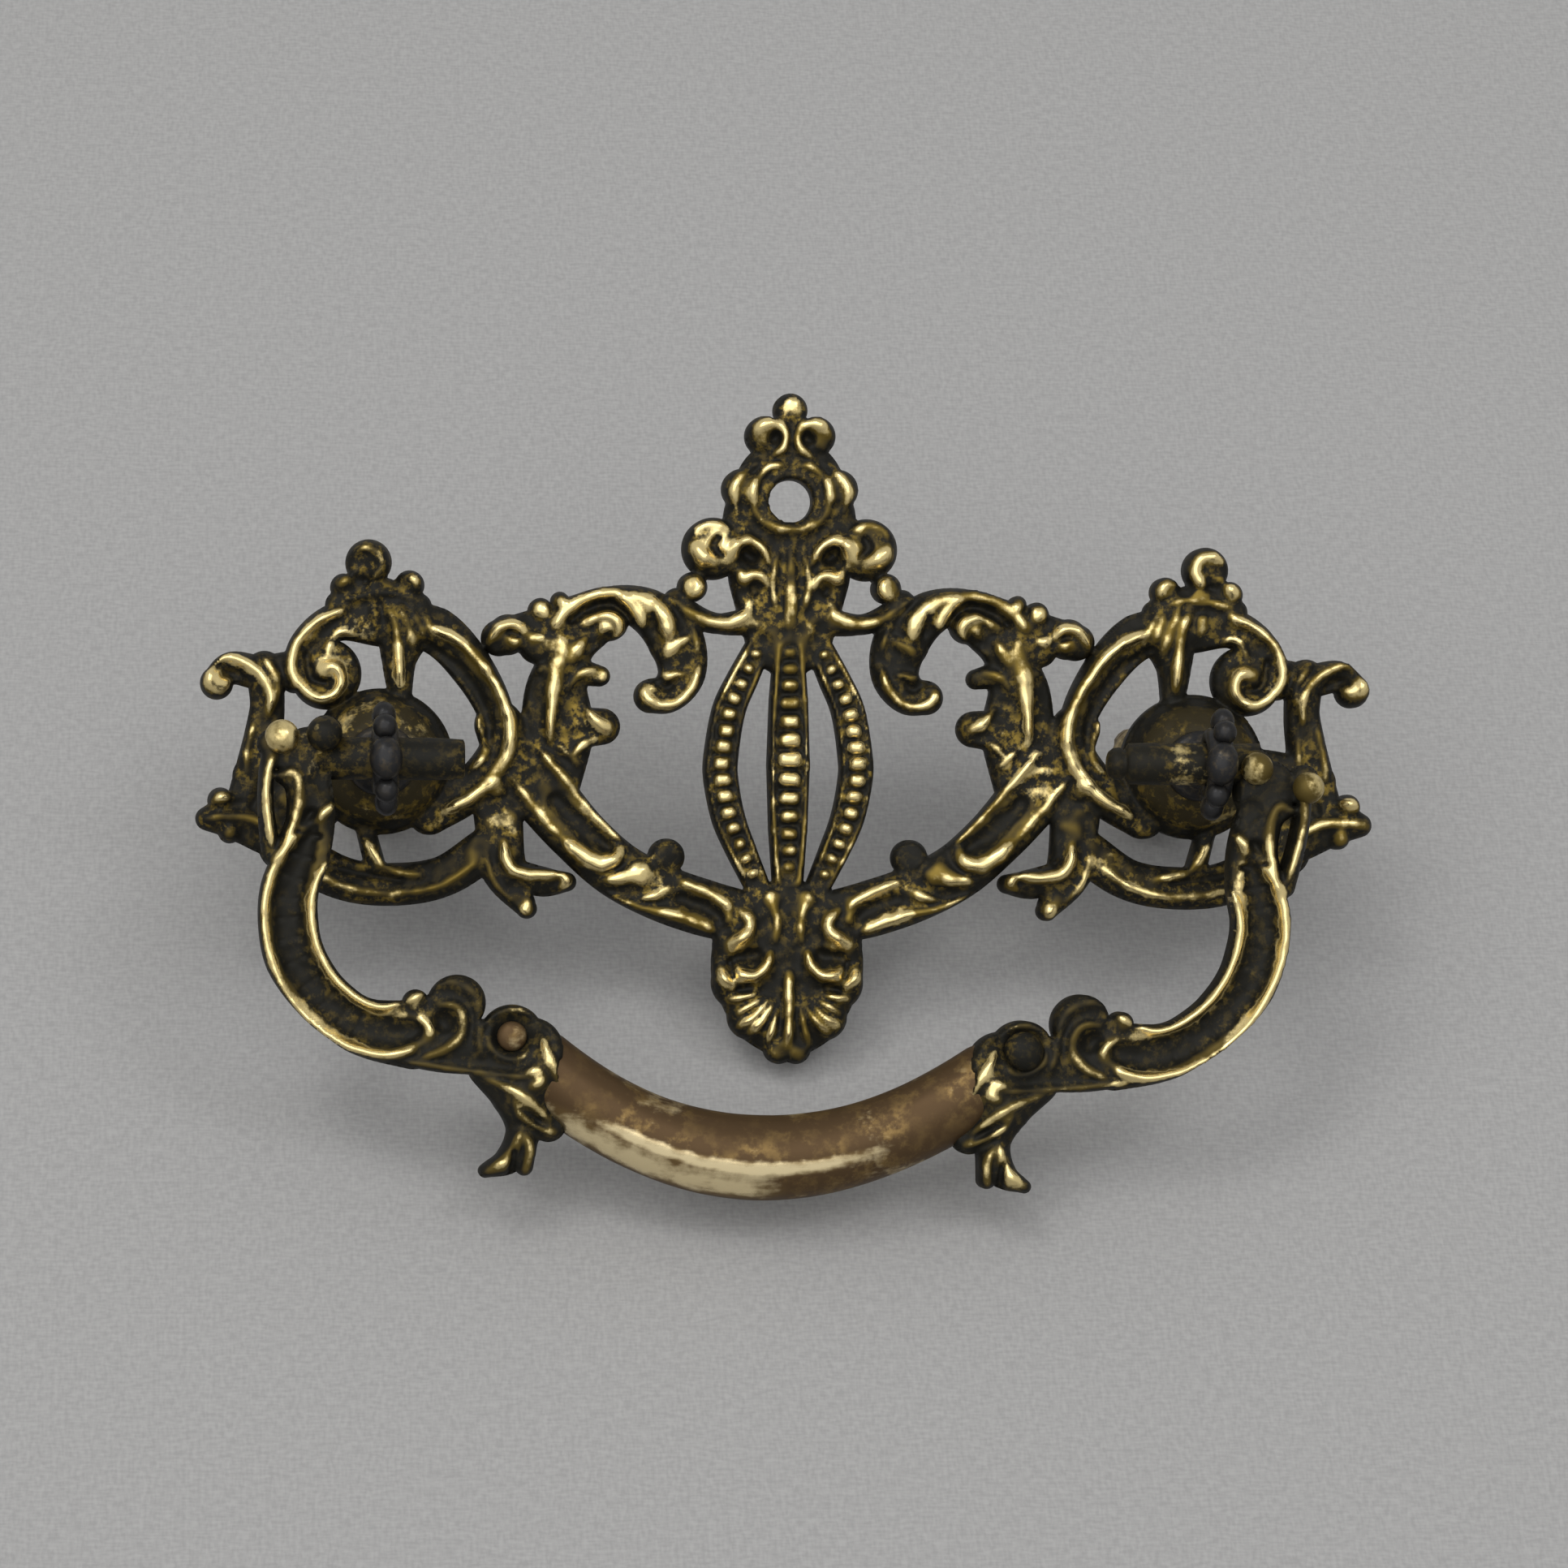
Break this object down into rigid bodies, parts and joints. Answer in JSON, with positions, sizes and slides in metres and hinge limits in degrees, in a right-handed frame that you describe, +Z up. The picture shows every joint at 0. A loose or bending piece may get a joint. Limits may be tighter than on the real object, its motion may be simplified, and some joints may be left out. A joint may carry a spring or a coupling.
{
  "type": "drawer pull",
  "caption": "Pierced scrollwork drawer pull with a swinging bail handle hung from eye posts that bolt through the drawer front.",
  "frame": {"origin": "on the back of the backplate, midway between the two posts' axes", "axes": "+Z up, -Y out of the drawer front towards the user, +X to the user's right; the plate's back lies in the plane y = 0 and the posts' shanks run along +Y into the drawer front"},
  "size_m": [0.1104, 0.0486, 0.0747],
  "materials": {
    "backplate": "cast, antiqued, polished on the high parts",
    "bail": "cast, antiqued, worn smooth on the grip",
    "post": "turned, dulled",
    "washer": "stamped, dulled",
    "nut": "stamped, dulled"
  },
  "bodies": {
    "fixed_parts": {"backplate": "backplate", "left_post": "post", "right_post": "post", "left_washer": "washer", "right_washer": "washer", "left_nut": "nut", "right_nut": "nut"},
    "bail": {"bail": "bail"}
  },
  "joints": [
    {"name": "bail_swing", "type": "hinge", "parent": "fixed_parts", "child": "bail", "pos_m": [0, -0.016, 0], "axis": [-1, 0, 0], "range_deg": [-19, 192]}
  ]
}
